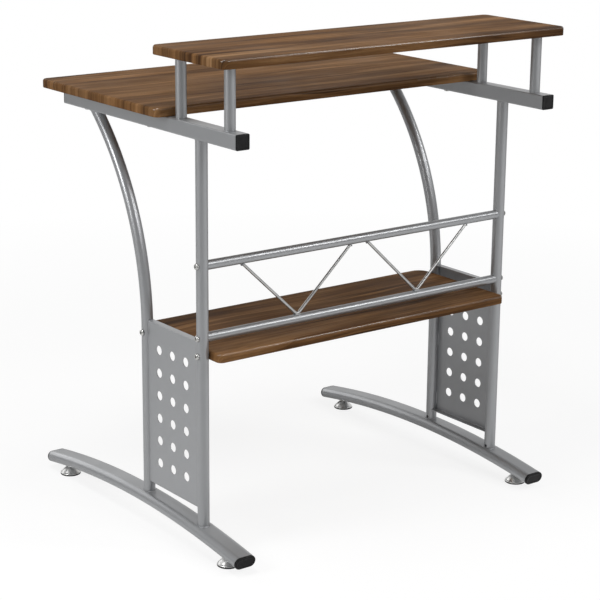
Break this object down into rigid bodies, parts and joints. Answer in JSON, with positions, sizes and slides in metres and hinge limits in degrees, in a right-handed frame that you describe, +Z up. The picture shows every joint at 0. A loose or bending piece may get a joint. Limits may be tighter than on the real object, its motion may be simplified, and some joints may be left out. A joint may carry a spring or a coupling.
{
  "type": "computer desk",
  "caption": "Small computer desk: walnut-look top, raised monitor shelf and lower shelf on arched-foot silver tube side frames with perforated panels, a rear truss and screw levellers.",
  "frame": {"origin": "on the floor, midway between the two feet and midway along them", "axes": "+Z up; +Y towards the rear, where the monitor shelf and the truss are; the person sits at -Y; +X to the seated person's right"},
  "size_m": [0.71, 0.6128, 0.835],
  "materials": {
    "walnut_laminate": "walnut-pattern laminate wrapped over moulded board, satin, grain along the width",
    "silver_coat": "silver metallic powder coat, satin",
    "black_plastic": "moulded black plastic, satin",
    "zinc_steel": "bright zinc plated steel",
    "chrome": "polished chrome plate"
  },
  "bodies": {
    "desk": {"desktop": "walnut_laminate", "desktop_bolts": "zinc_steel", "desktop_inserts": "zinc_steel", "left_foot": "silver_coat", "left_foot_front_cap": "black_plastic", "left_foot_rear_cap": "black_plastic", "left_front_leg": "silver_coat", "left_front_shelf_post": "silver_coat", "left_rail_front_cap": "black_plastic", "left_rail_rear_cap": "black_plastic", "left_rear_post": "silver_coat", "left_rear_shelf_post": "silver_coat", "left_side_panel": "silver_coat", "left_top_rail": "silver_coat", "left_truss_rod": "chrome", "leveller_bushes": "zinc_steel", "lower_shelf": "walnut_laminate", "lower_shelf_bolts": "zinc_steel", "lower_shelf_inserts": "zinc_steel", "lower_stretcher": "silver_coat", "monitor_shelf": "walnut_laminate", "monitor_shelf_inserts": "zinc_steel", "right_foot": "silver_coat", "right_foot_front_cap": "black_plastic", "right_foot_rear_cap": "black_plastic", "right_front_leg": "silver_coat", "right_front_shelf_post": "silver_coat", "right_rail_front_cap": "black_plastic", "right_rail_rear_cap": "black_plastic", "right_rear_post": "silver_coat", "right_rear_shelf_post": "silver_coat", "right_side_panel": "silver_coat", "right_top_rail": "silver_coat", "right_truss_rod": "chrome", "shelf_post_bolts": "zinc_steel", "stretcher_bolts": "zinc_steel", "stretcher_plugs": "zinc_steel", "upper_stretcher": "silver_coat"},
    "front_right_leveller_base": {"front_right_leveller_pad": "black_plastic", "front_right_leveller_cup": "chrome"},
    "front_right_leveller_screw": {"front_right_leveller_stud": "zinc_steel"},
    "front_left_leveller_base": {"front_left_leveller_pad": "black_plastic", "front_left_leveller_cup": "chrome"},
    "front_left_leveller_screw": {"front_left_leveller_stud": "zinc_steel"},
    "rear_right_leveller_base": {"rear_right_leveller_pad": "black_plastic", "rear_right_leveller_cup": "chrome"},
    "rear_right_leveller_screw": {"rear_right_leveller_stud": "zinc_steel"},
    "rear_left_leveller_base": {"rear_left_leveller_pad": "black_plastic", "rear_left_leveller_cup": "chrome"},
    "rear_left_leveller_screw": {"rear_left_leveller_stud": "zinc_steel"}
  },
  "joints": [
    {"name": "front_right_leveller_height", "type": "slide", "parent": "desk", "child": "front_right_leveller_base", "axis": [0, 0, 1], "range_m": [-0.01125, 0]},
    {"name": "front_right_leveller_turn", "type": "hinge", "parent": "front_right_leveller_base", "child": "front_right_leveller_screw", "pos_m": [0.32, -0.255, 0.014], "axis": [0, 0, 1], "range_deg": [-3250, 0]},
    {"name": "front_left_leveller_height", "type": "slide", "parent": "desk", "child": "front_left_leveller_base", "axis": [0, 0, 1], "range_m": [-0.01125, 0]},
    {"name": "front_left_leveller_turn", "type": "hinge", "parent": "front_left_leveller_base", "child": "front_left_leveller_screw", "pos_m": [-0.32, -0.255, 0.014], "axis": [0, 0, 1], "range_deg": [-3250, 0]},
    {"name": "rear_right_leveller_height", "type": "slide", "parent": "desk", "child": "rear_right_leveller_base", "axis": [0, 0, 1], "range_m": [-0.01125, 0]},
    {"name": "rear_right_leveller_turn", "type": "hinge", "parent": "rear_right_leveller_base", "child": "rear_right_leveller_screw", "pos_m": [0.32, 0.255, 0.014], "axis": [0, 0, 1], "range_deg": [-3250, 0]},
    {"name": "rear_left_leveller_height", "type": "slide", "parent": "desk", "child": "rear_left_leveller_base", "axis": [0, 0, 1], "range_m": [-0.01125, 0]},
    {"name": "rear_left_leveller_turn", "type": "hinge", "parent": "rear_left_leveller_base", "child": "rear_left_leveller_screw", "pos_m": [-0.32, 0.255, 0.014], "axis": [0, 0, 1], "range_deg": [-3250, 0]}
  ],
  "couplings": [
    {"joint": "front_right_leveller_turn", "follows": "front_right_leveller_height", "rad_per_m": 5026.5},
    {"joint": "front_left_leveller_turn", "follows": "front_left_leveller_height", "rad_per_m": 5026.5},
    {"joint": "rear_right_leveller_turn", "follows": "rear_right_leveller_height", "rad_per_m": 5026.5},
    {"joint": "rear_left_leveller_turn", "follows": "rear_left_leveller_height", "rad_per_m": 5026.5}
  ]
}
